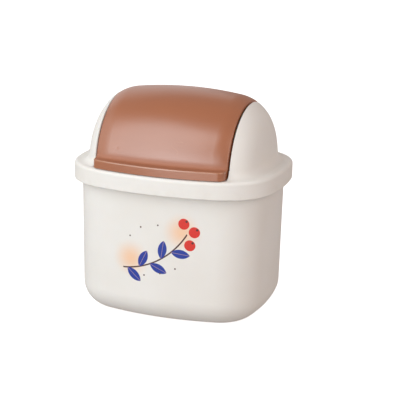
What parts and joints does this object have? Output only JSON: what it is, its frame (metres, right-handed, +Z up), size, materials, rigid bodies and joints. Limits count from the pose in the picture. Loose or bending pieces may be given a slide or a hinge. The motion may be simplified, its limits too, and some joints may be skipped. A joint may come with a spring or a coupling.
{
  "type": "desktop trash can",
  "caption": "Small round-cornered table top bin with a lift-off cover and a half-round swing flap that a finger lip lifts open.",
  "frame": {"origin": "middle of the base, on the surface that the bin stands on", "axes": "+Z up, -Y is the front with the finger lip, X along the hinge axis"},
  "size_m": [0.165, 0.135, 0.175],
  "materials": {
    "cream_plastic": "satin moulded",
    "brown_plastic": "satin moulded",
    "pin_plastic": "smooth moulded"
  },
  "bodies": {
    "bucket": {"bucket": "cream_plastic"},
    "cover": {"lid_cover": "cream_plastic"},
    "flap": {"flap": "brown_plastic", "hinge_pin_left": "pin_plastic", "hinge_pin_right": "pin_plastic"}
  },
  "joints": [
    {"name": "cover_lift", "type": "slide", "parent": "bucket", "child": "cover", "axis": [0, 0, 1], "range_m": [0, 0.06]},
    {"name": "flap_hinge", "type": "hinge", "parent": "cover", "child": "flap", "pos_m": [0, 0, 0.1165], "axis": [-1, 0, 0], "range_deg": [0, 64.5]}
  ]
}
